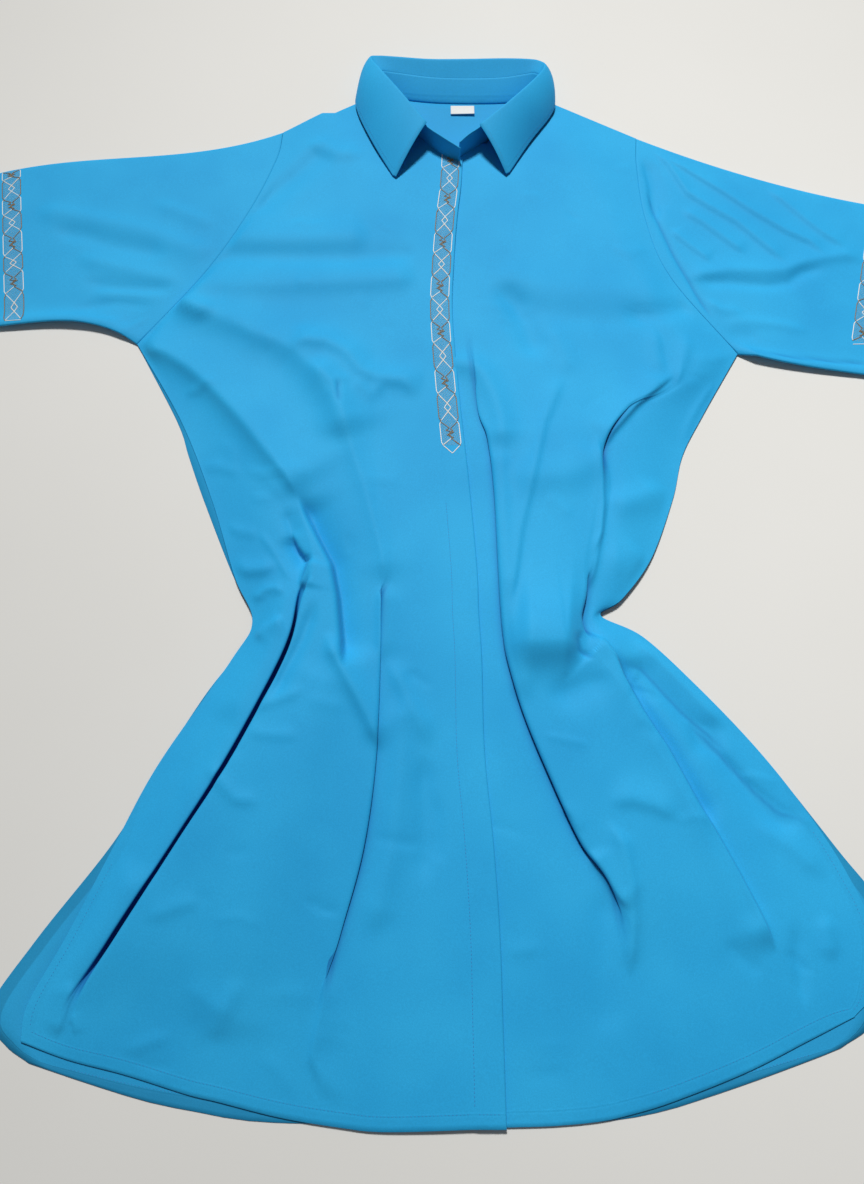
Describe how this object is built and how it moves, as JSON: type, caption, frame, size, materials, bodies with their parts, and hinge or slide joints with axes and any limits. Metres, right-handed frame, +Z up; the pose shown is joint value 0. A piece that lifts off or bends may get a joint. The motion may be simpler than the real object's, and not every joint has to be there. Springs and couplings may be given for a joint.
{
  "type": "long shirt",
  "caption": "Loose hip-flared long shirt laid flat, with pointed collar, covered front placket, elbow sleeves, side slits and a curved shirt-tail hem.",
  "frame": {"origin": "on the surface it lies on, under the middle of the garment's box", "axes": "+Y from hem to collar, +X towards the wearer's left sleeve (the right of the picture), +Z up from the surface"},
  "size_m": [1.0132, 1.103, 0.0372],
  "materials": {
    "blue_crepe": "matt woven crepe with a soft sheen",
    "white_label_tape": "matt woven tape"
  },
  "bodies": {
    "root": {"back": "blue_crepe", "right_front": "blue_crepe", "left_front": "blue_crepe", "placket": "blue_crepe", "right_sleeve": "blue_crepe", "left_sleeve": "blue_crepe", "collar_stand": "blue_crepe", "collar_leaf": "blue_crepe", "size_label": "white_label_tape"}
  },
  "joints": []
}
